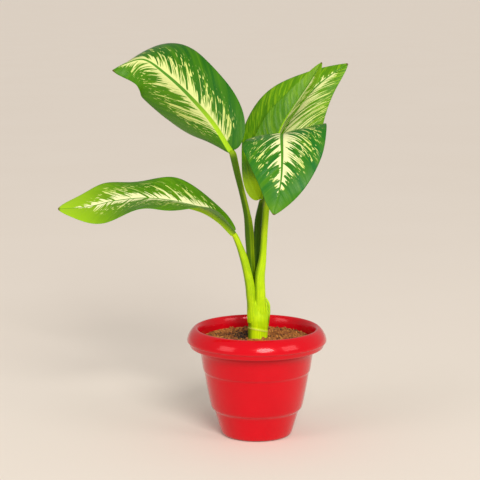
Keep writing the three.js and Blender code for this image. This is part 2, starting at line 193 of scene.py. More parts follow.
# the pot's profile as (radius, height), from the middle of its foot out and up, and down again inside
POT_FLOOR = 2.4
POT_OUTSIDE = [
    (0, 0), (35.2, 0), (37.3, 0.9), (38.6, 3.2),
    (41.4, 13), (44, 22), (45.2, 26.6), (46.4, 28.2), (48.6, 29.4), (49.7, 32),
    (51.6, 41.5), (53.4, 51), (55, 60.5), (56.2, 68.6), (56.4, 69.4), (57.4, 70.6), (57.8, 71.6),
    (58, 72.8), (59.1, 80.5), (60.4, 90.6), (62.4, 92.2), (62.7, 96),
    (63.2, 107), (64.8, 110.4), (66.8, 111), (68.6, 109), (69.4, 105.4),
    (69.2, 98.2), (69.8, 96.6), (71, 96.4), (71.8, 97.2), (72.6, 99.6), (73, 101.4), (73.4, 102),
    (74.2, 102.1), (74.8, 102.6), (75, 103.8), (74.2, 107.4), (72.4, 111.2), (69.6, 115.2), (66.4, 117.4),
    (64.6, 117), (63.2, 115.6),
]
POT_INSIDE = [
    (61.3, 110.5), (60.5, 95), (58.3, 89), (55.6, 72.8), (54.2, 68.6), (51.2, 50.6), (47.4, 31.8),
    (46.4, 30.6), (44.2, 28.6), (43, 26), (39.2, 13), (36.6, 4.4), (34.8, POT_FLOOR), (0, POT_FLOOR),
]
POT_STEPS = 72
DRAIN_HOLES = 6
DRAIN_RADIUS = 3
DRAIN_RING_RADIUS = 24
DRILL_SIDES = 32
DRILL_LENGTH = 10

SOIL_LEVEL = 106
SOIL_RADIUS = 60
SOIL_FALL = 2  # how much lower the soil lies at the pot's wall
SOIL_GAP = 0.3
SOIL_SIDE_TOP = 100  # below this the soil follows the pot, and above it is the lumpy top
SOIL_TOP_RADIUS = 59.4
SOIL_RING_STEP = 1.1
SOIL_RINGS = 53
SOIL_STEPS = 180
LUMPS_FADE = (60.5, 57)  # radii between which the lumps flatten towards the wall
SOIL_HOLLOW = (-17, -1, 8, 4.5)  # x, y, radius and depth
# painted shade: a darker patch of soil where the hollow on the cane's left side lies in shade
PAINTED_SHADE_PATCH = (-17, 12, 8, 20)  # x, y and how far it spreads along x and along y
CANE_CLEARANCE = 12  # no chip or fibre starts nearer to the axis than this
CHIP_REACH = 57
CHIP_SIZES = (0.4, 1.3)
FIBRE_REACH = 55
FIBRE_RADII = (0.1, 0.22)
FIBRE_STRIDES = (1.0, 1.9)
FIBRE_STAYS = (11, 58)  # radii that a fibre doesn't run past
SCATTER_BATCH = 40

CANE_ROUTE = [(2, 0, 62), (1.6, 0, 85), (1.1, 0, 107), (1.9, 0, 128), (1.2, 0, 147), (-1.4, 0, 160)]
CANE_RADII = [6, 8.6, 10, 10.7, 11.2, 11.7, 12.3, 11.8, 9.6]


# ---- curves ----
def along(values, t):
    """Catmull-Rom through evenly spaced numbers or vectors, t from 0 to 1."""
    last = len(values) - 1
    if last == 0:
        return values[0]
    place = min(max(t, 0), 1) * last
    i = min(int(place), last - 1)
    f = place - i
    b, c = values[i], values[i + 1]
    a = values[i - 1] if i > 0 else 2 * b - c
    d = values[i + 2] if i + 2 <= last else 2 * c - b
    return 0.5 * (2 * b + (c - a) * f + (2 * a - 5 * b + 4 * c - d) * f * f
                  + (3 * b - a - 3 * c + d) * f**3)


def smooth(low, high, x):
    """0 below low, 1 above high and a smooth step between."""
    t = min(max((x - low) / (high - low), 0), 1)
    return t * t * (3 - 2 * t)


def bell(x, width):
    return math.exp(-((x / width) ** 2))


def outward(angle):
    """The level direction at an angle."""
    return Vector((math.cos(angle), math.sin(angle), 0))


class Route:
    """A smooth curve through points in millimetres, read by its share of length, in millimetres."""

    SAMPLES = 200
    HEADING_REACH = 0.004

    def __init__(self, points):
        self.points = [Vector(p) for p in points]
        self.lengths = [0.0]
        before = self.points[0]
        for i in range(1, self.SAMPLES + 1):
            here = along(self.points, i / self.SAMPLES)
            self.lengths.append(self.lengths[-1] + (here - before).length)
            before = here
        self.length = self.lengths[-1]

    def at(self, share):
        wanted = min(max(share, 0), 1) * self.length
        low, high = 0, self.SAMPLES
        while high - low > 1:
            middle = (low + high) // 2
            low, high = (middle, high) if self.lengths[middle] <= wanted else (low, middle)
        step = self.lengths[high] - self.lengths[low]
        return along(self.points, (low + (wanted - self.lengths[low]) / step) / self.SAMPLES)

    def heading(self, share):
        ahead = self.at(share + self.HEADING_REACH)
        return (ahead - self.at(share - self.HEADING_REACH)).normalized()


class Leaf:
    """The blade's middle surface and its petiole's route, in millimetres."""

    def __init__(self, spec):
        self.spec = spec
        self.rib = Route(spec["midrib"])
        self.faces = [Vector(v) for v in spec["face"]]
        self.frames = {}

    def frame(self, u):
        if u not in self.frames:
            forward = self.rib.at(u + TANGENT_REACH) - self.rib.at(u - TANGENT_REACH)
            forward.normalize()
            normal = along(self.faces, u)
            normal = (normal - forward * normal.dot(forward)).normalized()
            self.frames[u] = self.rib.at(u), forward, normal, forward.cross(normal)
        return self.frames[u]

    def rib_half_width(self, u):
        return (KEEL_HALF_WIDTH + RIB_MARGIN) * (1 - RIB_SLIMMING * u)

    def half_width(self, u, half):
        base, tip, _ = self.spec["outline"]
        widest = base / (base + tip)
        outline = u**base * (1 - u) ** tip / (widest**base * (1 - widest) ** tip)
        plain = self.spec["half_widths"][half] * outline * along(self.spec["shape"][half], u)
        return math.hypot(plain, self.rib_half_width(u))

    def point(self, u, v):
        place, forward, normal, right = self.frame(u)
        half = 0 if v < 0 else 1
        out = abs(v)
        width = self.half_width(u, half)
        fold = math.radians(along(self.spec["fold"][half], u))
        curl = math.radians(along(self.spec["curl"][half], u))
        across = rise = 0
        for i in range(CURL_STEPS):
            angle = fold + curl * out * (i + 0.5) / CURL_STEPS
            across += math.cos(angle) * width * out / CURL_STEPS
            rise += math.sin(angle) * width * out / CURL_STEPS
        height, count, phases = self.spec["wave"]
        swell = math.sin(math.tau * (count * u + phases[half]))
        rise += height * out**2 * math.sin(math.pi * u) * swell
        beside = 1 - self.rib_half_width(u) / width
        back = self.spec["outline"][2][half] * out**2 * math.exp(-u / LOBE_REACH) * beside
        return place + right * math.copysign(across, v) + normal * rise - forward * back

    def petiole_route(self):
        """Up to the keel's end, then a little way into it."""
        place, forward, normal, _ = self.frame(0)
        end = place - normal * KEEL_DEPTH / 2 - forward * PETIOLE_GAP
        return Route([*self.spec["petiole"], end - forward * PETIOLE_RUN_IN, end])


# ---- shader maths ----
def math_method(operation, swapped=False):
    """A method that adds a Math node; swapped where the other number comes first."""

    def method(self, other):
        return self.math(operation, *((other, self) if swapped else (self, other)))

    return method


class Value:
    """A number that a socket gives. Its operators add Math nodes."""

    def __init__(self, shader, socket):
        self.shader = shader
        self.socket = socket

    def math(self, operation, *values):
        return self.shader.node("Math", dict(enumerate(values)), operation=operation)

    __add__ = __radd__ = math_method("ADD")
    __sub__ = math_method("SUBTRACT")
    __rsub__ = math_method("SUBTRACT", swapped=True)
    __mul__ = __rmul__ = math_method("MULTIPLY")
    __truediv__ = math_method("DIVIDE")
    at_least = math_method("MAXIMUM")
    at_most = math_method("MINIMUM")
    above = math_method("GREATER_THAN")

    def __abs__(self):
        return self.math("ABSOLUTE", self)

    def step(self, low, high):
        """0 below low and 1 above high, smooth between; low may be the higher one."""
        if not isinstance(low, Value) and low > high:
            return 1 - self.step(high, low)
        inputs = {0: self, 1: low, 2: high}
        return self.shader.node("MapRange", inputs, interpolation_type="SMOOTHSTEP", clamp=True)


class Shader:
    """One material's node tree."""

    def __init__(self, name):
        self.material = bpy.data.materials.new(name)
        self.material.use_nodes = True
        self.tree = self.material.node_tree
        self.tree.nodes.clear()

    def node(self, kind, inputs=None, output=0, **settings):
        """Adds a node, sets it and then its sockets, and gives one of its outputs."""
        made = self.tree.nodes.new("ShaderNode" + kind)
        for key, setting in settings.items():
            if key == "stops":
                self.set_stops(made.color_ramp, setting)
            else:
                setattr(made, key, setting)
        for key, wanted in (inputs or {}).items():
            if isinstance(wanted, Value):
                self.tree.links.new(wanted.socket, made.inputs[key])
            elif made.inputs[key].type == "RGBA":
                made.inputs[key].default_value = (*wanted, 1)
            else:
                made.inputs[key].default_value = wanted
        return Value(self, made.outputs[output]) if made.outputs else None

    @staticmethod
    def set_stops(ramp, stops):
        while len(ramp.elements) < len(stops):
            ramp.elements.new(1)
        for element, (position, colour) in zip(ramp.elements, stops):
            element.position = position
            element.color = (*colour, 1)

    def mix(self, share, a, b):
        return self.node("Mix", {0: share, 6: a, 7: b}, output=2, data_type="RGBA")

    def layers(self, colour, *over):
        """Lays each (share, colour) over what is there already."""
        for share, upper in over:
            colour = self.mix(share, colour, upper)
        return colour

    def vector(self, x, y, z):
        return self.node("CombineXYZ", {0: x, 1: y, 2: z})

    def attribute(self, name):
        """The three numbers that the piece's own attribute holds."""
        vector = self.node("Attribute", output=1, attribute_name=name)
        separate = self.node("SeparateXYZ", {0: vector})
        return [Value(self, output) for output in separate.socket.node.outputs]

    def place(self):
        return self.node("TexCoord", output=3)

    def noise(self, vector, scale, detail=2.0, roughness=0.5):
        inputs = {"Vector": vector, "Scale": scale, "Detail": detail, "Roughness": roughness}
        return self.node("TexNoise", inputs)

    def scaled(self, vector, scale):
        return self.node("VectorMath", {0: vector, 1: scale}, operation="MULTIPLY")

    def bump(self, height, distance):
        return self.node("Bump", {"Height": height, "Distance": distance})

    def surface(self, **sockets):
        """Ends the tree with a Principled shader; socket names have _ for a space."""
        inputs = {key.replace("_", " "): wanted for key, wanted in sockets.items()}
        shaded = self.node("BsdfPrincipled", inputs)
        self.node("OutputMaterial", {0: shaded})
        return self.material


# ---- pieces ----
def linked(name, data):
    """A new object in the scene, made of a mesh, a light or a camera."""
    made = bpy.data.objects.new(name, data)
    bpy.context.scene.collection.objects.link(made)
    return made


def finished_mesh(bm, name):
    """The mesh that a bmesh has become; the bmesh is freed."""
    mesh = bpy.data.meshes.new(name)
    bm.to_mesh(mesh)
    bm.free()
    return mesh


def add_piece(bm, name, material, slot, *replaced):
    """Makes the finished mesh a named piece that rides on the plant's one body."""
    bmesh.ops.recalc_face_normals(bm, faces=bm.faces[:])
    mesh = finished_mesh(bm, name)
    for polygon in mesh.polygons:
        polygon.use_smooth = True
    mesh.materials.append(material)
    piece = linked(name, mesh)
    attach(piece, BODY)
    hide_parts(*replaced)
    return piece


def lathe(bm, profile, steps):
    """Spins a profile of (radius, height) in millimetres about the upright axis."""
    stops = [bm.verts.new((r * MM, 0, z * MM)) for r, z in profile]
    edges = [bm.edges.new(pair) for pair in zip(stops, stops[1:])]
    bmesh.ops.spin(bm, geom=stops + edges, cent=(0, 0, 0), axis=(0, 0, 1), angle=math.tau,
                   steps=steps, use_merge=True)
    bmesh.ops.remove_doubles(bm, verts=bm.verts[:], dist=0.01 * MM)


def applied(piece):
    """Puts a piece's modifiers into its mesh."""
    graph = bpy.context.evaluated_depsgraph_get()
    made = bpy.data.meshes.new_from_object(piece.evaluated_get(graph))
    piece.modifiers.clear()
    old = piece.data
    piece.data = made
    bpy.data.meshes.remove(old)
    made.name = piece.name


def circle(bm, sides, radius, matrix):
    """The corners and the edges of a new circle."""
    ring = bmesh.ops.create_circle(bm, segments=sides, radius=radius, matrix=matrix)["verts"]
    return ring, list({edge for vert in ring for edge in vert.link_edges})


def extruded(bm, edges):
    """Extrudes a loop of edges on the spot, and gives the new loop's corners and edges."""
    made = bmesh.ops.extrude_edge_only(bm, edges=edges)["geom"]
    ring = [part for part in made if isinstance(part, bmesh.types.BMVert)]
    edges = [part for part in made if isinstance(part, bmesh.types.BMEdge)
             and all(vert in ring for vert in part.verts)]
    return ring, edges


def layer(bm, name):
    """A new layer that keeps three numbers with each corner."""
    return bm.verts.layers.float_vector.new(name)


def tube(sides, rows, place, mark):
    """A closed tube: place(share of length, share of turn) gives each point, in millimetres.

    The layer 'place' keeps both shares, and 'marks' what mark(share, turn, point) gives."""
    bm = bmesh.new()
    keep = layer(bm, "place")
    marks = layer(bm, "marks")
    ring, edges = circle(bm, sides, 1, Matrix())
    for k, vert in enumerate(ring):
        vert[keep] = (0, k / sides, 0)
        vert.co = place(0, k / sides) * MM
    ends = [edges]
    for i in range(1, rows + 1):
        ring, edges = extruded(bm, edges)
        for vert in ring:
            turn = vert[keep][1]
            vert[keep] = (i / rows, turn, 0)
            vert.co = place(i / rows, turn) * MM
    ends.append(edges)
    for loop in ends:
        bmesh.ops.contextual_create(bm, geom=loop)
    for vert in bm.verts:
        share, turn, _ = vert[keep]
        vert[marks] = mark(share, turn, vert.co / MM)
    return bm


# ---- materials ----
DARKEST_SOIL = (0.015, 0.005, 0.002)
DRY_LEAF_TIP = (0.12, 0.05, 0.012)


def red_plastic(settings):
    shader = Shader("pot_red")
    place = shader.place()
    cloud = shader.noise(place, 26.0, 3.0)
    colour = shader.mix(cloud.step(0.3, 0.8), settings.red, settings.deep_red)
    peel = shader.noise(place, 700.0, 2.0)
    scuffs = shader.noise(shader.scaled(place, (1.0, 1.0, 6.0)), 90.0, 4.0, 0.6)
    roughness = 0.15 + 0.05 * cloud + 0.1 * scuffs.step(0.58, 0.75)
    return shader.surface(Base_Color=colour, Roughness=roughness, Specular_IOR_Level=0.5,
                          Specular_Tint=(1.0, 0.25, 0.28), Coat_Weight=0.2,
                          Coat_Roughness=0.1, Normal=shader.bump(peel, 0.00004))


def coir(settings):
    shader = Shader("coir")
    place = shader.place()
    # tone: a random tone of the mix, lowered where painted shade darkens it by the cane's hollow
    tone = shader.attribute("tone")[0]
    speckle = shader.noise(place, 650.0, 4.0, 0.65)
    patch = shader.noise(place, 45.0, 3.0)
    fibre = shader.noise(shader.scaled(place, (1.0, 0.25, 1.0)), 900.0, 2.0)
    level = 0.45 * speckle + 0.3 * patch + 0.2 * fibre + 0.5 * tone
    stops = [(0.3, DARKEST_SOIL), (0.48, settings.dark), (0.64, settings.brown),
             (0.88, settings.tan)]
    colour = shader.node("ValToRGB", {0: level}, stops=stops)
    return shader.surface(Base_Color=colour, Roughness=0.95,
                          Normal=shader.bump(speckle + 0.5 * fibre, 0.0006))


def stem_green(name, settings, pale, lit_end=0.0, foot=0.0):
    """Young stem: fine lengthwise streaks, paler where pale is high, and darkened with painted shade
    where its
    first mark says so: in its channel, on its shaded side and at its ends.

    lit_end is how much its upper end turns lime, where it meets the blade's keel, and foot how much
    its lower end does, where it sinks into the cane; where they do, the painted shade gives way."""
    shader = Shader(name)
    place = shader.place()
    share, turn, _ = shader.attribute("place")
    # channel holds painted shade: the channel's, the shaded side's, the ends' and the old sheath's edges'
    channel, scar, dry = shader.attribute("marks")
    angle = turn * math.tau
    around = shader.vector(angle.math("COSINE", angle), angle.math("SINE", angle), share * 0.5)
    streak = shader.noise(around, 9.0, 3.0, 0.6)
    cloud = shader.noise(place, 55.0, 2.0)
    lime = shader.mix((streak * 0.6 + cloud * 0.4).step(0.38, 0.66), settings.lime, settings.pale)
    end = share.step(0.95, 1.0) * lit_end + share.step(0.19, 0.08) * foot
    lime = shader.mix(pale + (1 - pale) * end, settings.deep, lime)
    shaded = channel.step(0.1, 1.0) * 0.85 * (1 - end)
    colour = shader.layers(lime, (shaded, settings.deep), (scar, settings.scar), (dry, settings.dry))
    ribs = shader.noise(around, 26.0, 1.0)
    roughness = 0.34 + 0.14 * cloud + 0.3 * dry
    return shader.surface(Base_Color=colour, Roughness=roughness, Specular_IOR_Level=0.15,
                          Normal=shader.bump(ribs + 0.4 * cloud, 0.00025))


def blade_green(name, settings, marks):
    """Dark green with cream feathered out from the midrib along the side veins."""
    shader = Shader(name)
    u, v, under = shader.attribute("place")
    vein, width, relief = shader.attribute("span")
    right = v.above(0.0)
    out = abs(v)
    beside = abs(width)
    seed = right * 7.3 + marks["seed"] * 3.1

    def pair(key):
        left, other = marks[key]
        return right * (other - left) + left

    def streaks(spacing, run, offset, detail=0.0):
        """Noise that is drawn out along the side veins; its features are about spacing by run mm."""
        vector = shader.vector(vein / spacing, beside / run, seed + offset)
        return shader.noise(vector, 1.0, detail)

    reach = pair("cream")
    there = u.step(pair("start"), pair("start") + 0.14) * u.step(marks["end"][1], marks["end"][0])
    there = there * reach.step(0.0, 0.03)
    fingers = streaks(4.6 * marks["coarse"], 70.0, 0.0).step(0.4, 0.62)
    thin = streaks(3.0 * marks["coarse"], 34.0, 11.0).step(0.42, 0.56)
    ragged = streaks(1.6, 6.0, 23.0, 1.0) - 0.5
    plain = fingers * 0.5 + thin * 0.5
    apart = (fingers * 1.3).at_most(1.0) * (thin * 0.85 + 0.15)
    length = marks["solid"] + (1 - marks["solid"]) * (plain + marks["split"] * (apart - plain))
    field = reach * there * (length + ragged * 0.4) - out
    share = out / (reach * there + 0.02)
    gaps = streaks(1.5, 9.0, 31.0).step(0.55, 0.59) * share.step(0.1, 0.4) * marks["gaps"]
    dots = streaks(1.8, 3.2, 43.0).step(0.67, 0.7) * share.step(1.35, 1.0) * share.step(0.5, 0.7)
    cream = (field.step(-0.006, 0.01) * (1 - gaps)).at_least(dots * there)
    halo = field.step(-0.07, 0.02) * there

    # painted light: how lit each half is painted, from the deep green to the bright one
    light = pair("light")
    cloud = shader.noise(shader.vector(vein / 9.0, beside / 30.0, seed), 1.0, 3.0)
    # a painted bluish sheen, a painted reflection, mixed into the deep green
    deep = Vector(settings.deep_green).lerp(Vector(settings.painted_sheen_green), marks["cool"])
    green = shader.mix(light * 0.8 + (cloud - 0.5) * 1.3 + 0.1, deep, settings.bright_green)
    mottle = streaks(3.2, 8.0, 57.0, 2.0).step(0.5, 0.64) * marks["mottle"]
    between_veins = (0 - relief).step(0.7, 1.0)
    youth, young_from = marks["young"]
    # the left base lobe: partly the young foot's own lime, partly painted light glowing through it
    lobe = u.step(0.17, 0.07) * (1 - right) * marks["base"]
    green = shader.layers(green, (mottle, settings.young_green),
                          (between_veins * 0.08, settings.young_green),
                          (u.step(young_from, 1.0) * youth, settings.young_green),
                          (lobe, settings.lobe), (halo * 0.22, settings.young_green))
    pale = shader.mix(share.step(0.9, 0.3) * marks["white"], settings.cream, settings.white)

    rib_width = marks["rib"][0] * (1 - 0.85 * u)
    rib = (beside / rib_width).step(1.1, 0.8)
    rib_colour = shader.mix(u.step(*marks["rib"][1:]), settings.rib, settings.rib_tip)
    keel = (beside / rib_width).step(2.4, 1.2)
    belly = shader.layers(settings.under, (cloud, settings.under_pale), (cream * 0.5, settings.cream),
                          (keel, settings.rib))
    colour = shader.layers(green, (cream, pale), (rib, rib_colour), (under, belly),
                           (u.step(0.985, 0.998) * 0.8, DRY_LEAF_TIP))

    fine = streaks(0.8, 12.0, 5.0, 1.0)
    pores = shader.noise(shader.place(), 1500.0, 1.0)
    roughness = 0.27 + 0.12 * fine + 0.08 * cream + 0.2 * under
    height = fine * 0.6 + pores * 0.25 + (1 - rib) * 0.3
    return shader.surface(Base_Color=colour, Roughness=roughness, Specular_IOR_Level=0.14,
                          Normal=shader.bump(height, 0.0003))


# ---- the pot and its soil ----
def make_pot(settings):
    bm = bmesh.new()
    lathe(bm, POT_OUTSIDE + POT_INSIDE, POT_STEPS)
    pot = add_piece(bm, "planter", red_plastic(settings), "pot_red", "pot")
    smoothing = pot.modifiers.new("smooth", "SUBSURF")
    smoothing.levels = smoothing.render_levels = 1
    bm = bmesh.new()
    for i in range(DRAIN_HOLES):
        turn = math.tau * i / DRAIN_HOLES
        place = outward(turn) * DRAIN_RING_RADIUS * MM
        bmesh.ops.create_cone(bm, cap_ends=True, segments=DRILL_SIDES, radius1=DRAIN_RADIUS * MM,
                              radius2=DRAIN_RADIUS * MM, depth=DRILL_LENGTH * MM,
                              matrix=Matrix.Translation(place))
    mesh = finished_mesh(bm, "drills")
    drills = linked("drills", mesh)
    holes = pot.modifiers.new("holes", "BOOLEAN")
    holes.operation = "DIFFERENCE"
    holes.object = drills
    bpy.context.view_layer.update()
    applied(pot)
    bpy.data.objects.remove(drills)
    bpy.data.meshes.remove(mesh)


def painted_hollow_shade(x, y):
    """How much painted shade darkens the soil: most on the cane's left side, where its hollow lies in
    shade.
    """
    hx, hy, across, along_y = PAINTED_SHADE_PATCH
    return bell(x - hx, across) * bell(y - hy, along_y)


def soil_height(x, y):
    """How far lumps, grains and the hollow lift or lower the soil's top, in millimetres."""
    lumps = math.sin(0.55 * x + 1.1) * math.cos(0.47 * y) + 0.6 * math.sin(0.31 * (x + y) + 2)
    hx, hy, radius, depth = SOIL_HOLLOW
    rise = 1.1 * lumps - depth * bell(math.hypot(x - hx, y - hy), radius)
    here = Vector((x, y, 0))
    rise += 1.5 * noise.noise(here / 5.5) + 1.1 * noise.noise(here / 2.4)
    cell = noise.voronoi(here / 3.1)[0]
    rise += 0.9 * min(cell[1] - cell[0], 0.6)
    return rise


def soil_level(r):
    """The soil's plain level in millimetres, which falls a little at the pot's wall."""
    return SOIL_LEVEL - SOIL_FALL * (r / SOIL_RADIUS) ** 6


def soil_top(x, y):
    r = math.hypot(x, y)
    return soil_level(r) + soil_height(x, y) * (0.3 + 0.7 * smooth(*LUMPS_FADE, r))


def on_soil(rng, widest):
    """A random place on the soil's top, clear of the cane."""
    while True:
        r = widest * math.sqrt(rng.random())
        turn = rng.uniform(0, math.tau)
        if r > CANE_CLEARANCE:
            x, y = r * math.cos(turn), r * math.sin(turn)
            return Vector((x, y, soil_top(x, y)))


def any_way(rng):
    """A random vector, each part of it from -1 to 1."""
    return Vector((rng.uniform(-1, 1), rng.uniform(-1, 1), rng.uniform(-1, 1)))


def turned(rng):
    axis = any_way(rng).normalized()
    return Matrix.Rotation(rng.uniform(0, math.pi), 4, axis)


def add_chip(bm, rng, tone):
    """A coir chip: a small squashed lump, half sunk."""
    size = rng.uniform(*CHIP_SIZES) * MM
    place = on_soil(rng, CHIP_REACH)
    shape = Matrix.Diagonal((size * rng.uniform(0.7, 1.7), size, size * rng.uniform(0.4, 0.9), 1))
    matrix = Matrix.Translation(place * MM) @ turned(rng) @ shape
    made = bmesh.ops.create_icosphere(bm, subdivisions=1, radius=1, matrix=matrix)["verts"]
    # a random tone, lowered by the painted shade of the hollow on the cane's left side
    shade = rng.random() - painted_hollow_shade(place.x, place.y)
    for vert in made:
        vert.co += any_way(rng) * size * 0.22
        vert[tone] = (shade, 0, 0)


def add_fibre(bm, rng, tone):
    """A coir fibre: a thin bent hair that lies on the soil."""
    radius = rng.uniform(*FIBRE_RADII)
    shade = rng.uniform(0.6, 1.0)
    place = on_soil(rng, FIBRE_REACH)
    turn = rng.uniform(0, math.tau)
    bend = rng.uniform(-0.35, 0.35)
    stand = Matrix.Rotation(turn, 4, "Z") @ Matrix.Rotation(math.pi / 2, 4, "Y")
    ring, edges = circle(bm, 3, radius * MM, Matrix.Translation(place * MM) @ stand)
    bmesh.ops.contextual_create(bm, geom=edges)
    for _ in range(4):
        turn += bend
        ahead = place + outward(turn) * rng.uniform(*FIBRE_STRIDES)
        if not FIBRE_STAYS[0] < math.hypot(ahead.x, ahead.y) < FIBRE_STAYS[1]:
            break
        ahead.z = soil_top(ahead.x, ahead.y) + rng.uniform(0.0, 0.9)
        verts, edges = extruded(bm, edges)
        bmesh.ops.translate(bm, verts=verts, vec=(ahead - place) * MM)
        ring += verts
        place = ahead
    bmesh.ops.contextual_create(bm, geom=edges)
    for vert in ring:
        vert[tone] = (shade, 0, 0)


def scatter(bm, rng, count, add_one):
    """Adds many small shapes by way of small meshes, which is much quicker than one by one."""
    for start in range(0, count, SCATTER_BATCH):
        part = bmesh.new()
        tone = layer(part, "tone")
        for _ in range(min(SCATTER_BATCH, count - start)):
            add_one(part, rng, tone)
        mesh = finished_mesh(part, "scatter")
        bm.from_mesh(mesh)
        bpy.data.meshes.remove(mesh)


def make_soil(settings):
    rng = random.Random(11)
    bm = bmesh.new()
    tone = layer(bm, "tone")
    side = [(max(r - SOIL_GAP, 0), max(z, POT_FLOOR + SOIL_GAP)) for r, z in POT_INSIDE
            if z < SOIL_SIDE_TOP]
    rings = [SOIL_TOP_RADIUS - SOIL_RING_STEP * i for i in range(SOIL_RINGS)] + [0]
    lathe(bm, side[::-1] + [(r, soil_level(r)) for r in rings], SOIL_STEPS)
    for vert in bm.verts:
        x, y, z = vert.co / MM
        # a random tone, lowered by the painted shade of the hollow on the cane's left side
        vert[tone] = (0.3 + 0.4 * noise.noise(vert.co / MM / 4) - 0.8 * painted_hollow_shade(x, y), 0, 0)
        if z > SOIL_SIDE_TOP:
            vert.co.z = soil_top(x, y) * MM
    scatter(bm, rng, settings.chips, add_chip)
    scatter(bm, rng, settings.fibres, add_fibre)
    add_piece(bm, "potting_mix", coir(settings), "coir", "soil")


# ---- the cane and the petioles ----
def section_axes(forward, towards):
    """Two directions across a stem: the first one as near to 'towards' as it can be."""
    inner = (towards - forward * towards.dot(forward)).normalized()
    return inner, forward.cross(inner)


# a scar's ring: its height, how far it slants and towards which turn, its width and how far it rises
SCARS = (
    {"height": 114.5, "tilt": -2.6, "turn": 0.15, "width": 0.7, "rise": 0.4},
    {"height": 88.0, "tilt": 1.5, "turn": 2.0, "width": 0.9, "rise": 0.4},
)
SCAR_GROOVE = (0.35, 2.2, 1.4)  # depth, how far above the ring, and width
SCAR_LINE = (0.9, 0.5)  # how pale the ring is, and its width
# an old sheath stands out on the cane's right side; its front and back edges are shares of a turn
FLAP_FROM = 122.0
FLAP_TO = 158.0
FLAP_SLANT = 14.0
FLAP_RISE = 0.9
FLAP_FRONT = (-0.115, -0.09)
FLAP_BACK = (0.22, 0.1)
SHEATHS_FROM = 124.0  # over this stretch the cane gives way to the stalks' sheaths
SHEATHS_TO = 141.0
SHEATHS_SHARE = 0.24  # share of its radius that it gives up there
CANE_INSET = 0.5  # keeps the scars and the flap near the solid's surface
CANE_TAPER = 0.6
CANE_SIDES = 96
CANE_ROWS = 150


def flap_rise(z, turn):
    """Where the old sheath stands out, from 0 to 1."""
    middle = 0.02 + 0.06 * smooth(FLAP_FROM, FLAP_TO, z)
    aside = (turn - middle + 0.5) % 1 - 0.5
    top = FLAP_TO - FLAP_SLANT * smooth(-0.1, 0.04, aside)
    tall = smooth(FLAP_FROM - 6, FLAP_FROM + 12, z) * smooth(top, top - 4, z)
    return tall * smooth(*FLAP_FRONT, aside) * smooth(*FLAP_BACK, aside)


def make_cane(settings):
    route = Route(CANE_ROUTE)

    def scar_marks(z, turn):
        """How far the scars stand out, and how pale they are."""
        rise = mark = 0
        depth, above, groove_width = SCAR_GROOVE
        paleness, line_width = SCAR_LINE
        for scar in SCARS:
            level = scar["height"] + scar["tilt"] * math.sin(math.tau * (turn + scar["turn"]))
            rise += scar["rise"] * bell(z - level, scar["width"])
            rise -= depth * bell(z - level - above, groove_width)
            mark = max(mark, paleness * bell(z - level, line_width))
        return rise, mark

    def place(share, turn):
        centre = route.at(share)
        radius = along(CANE_RADII, share)
        z = centre.z
        radius += scar_marks(z, turn)[0]
        flap = flap_rise(z, turn)
        radius += FLAP_RISE * flap - CANE_INSET
        radius *= 1 - SHEATHS_SHARE * smooth(SHEATHS_FROM, SHEATHS_TO, z) * (1 - flap)
        radius *= 1 - CANE_TAPER * smooth(0.8, 1.0, share)
        return centre + outward(math.tau * turn) * radius

    # the first mark is painted shade, along the old sheath's edges and down the cane's left side; the
    # second is how pale the scars are
    def mark(share, turn, point):
        flap = flap_rise(point.z, turn)
        edge = flap * (1 - flap) * 4
        leftward = (route.at(share).x - point.x) / along(CANE_RADII, share)
        shade = max(0.7 * edge, 0.75 * smooth(0.3, 0.85, leftward))
        return shade, scar_marks(point.z, turn)[1], 0

    bm = tube(CANE_SIDES, CANE_ROWS, place, mark)
    add_piece(bm, "stem_cane", stem_green("cane_green", settings, 1.0), "cane_green", "cane")


# where a stalk's sheath sinks into the cane, and its radius there
SHEATH_FEET = {
    "upper_left": ((-2.4, 2.0, 126), 6.6),
    "back_right": ((1.4, 3.4, 126), 7.2),
    "inner": ((3.8, 2.8, 126), 6.2),
    "lower_left": ((-2.2, -1.2, 124), 7.9),
    "front_right": ((3.6, -1.8, 122), 8.2),
}
# pale: how lime the stalk is; the back_right stalk's low value is painted shade, for it stands behind the
# others. lit: how lime its upper end turns. shade: how dark its shaded side is painted, as painted shade,
# and from where to where across the stalk that comes on, from -1 at its right to 1 at its left. ends: how
# dark both its ends are painted, as painted shade. sheath: share of its length that the sheath wraps.
# depth: the channel's, as a share of the radius; the channel is also darkened with painted shade. dry:
# how brown the sheath's tip is.
# PLAIN_STALK holds what a stalk doesn't name.
PLAIN_STALK = {"shade": (0.8, 0.1, 0.9), "ends": 0.0, "dry": 0}
PETIOLE_LOOKS = {
    "upper_left": {"pale": 0.6, "lit": 0.6, "shade": (1.0, -0.6, 0.1), "ends": 0.9,
                   "sheath": 0.55, "depth": 0.22},
    "lower_left": {"pale": 0.8, "lit": 1.0, "shade": (0.6, 0.1, 0.9), "sheath": 0.5, "depth": 0.15},
    "back_right": {"pale": 0.1, "lit": 0.3, "sheath": 0.6, "depth": 0.35},
    "front_right": {"pale": 0.95, "lit": 1.0, "shade": (0.7, 0.0, 0.9), "sheath": 0.6, "depth": 0.2,
                    "dry": 1},
    "inner": {"pale": 0.3, "lit": 0.5, "sheath": 0.5, "depth": 0.2},
}
PETIOLE_SIDES = 48
PETIOLE_ROWS = 120
CHANNEL_WIDTH = 0.085  # this and the wings' place and width are shares of a turn
WING_PLACE = 0.13
WING_WIDTH = 0.04
WING_HEIGHT = 0.12
NECK_SLIMMING = 0.12


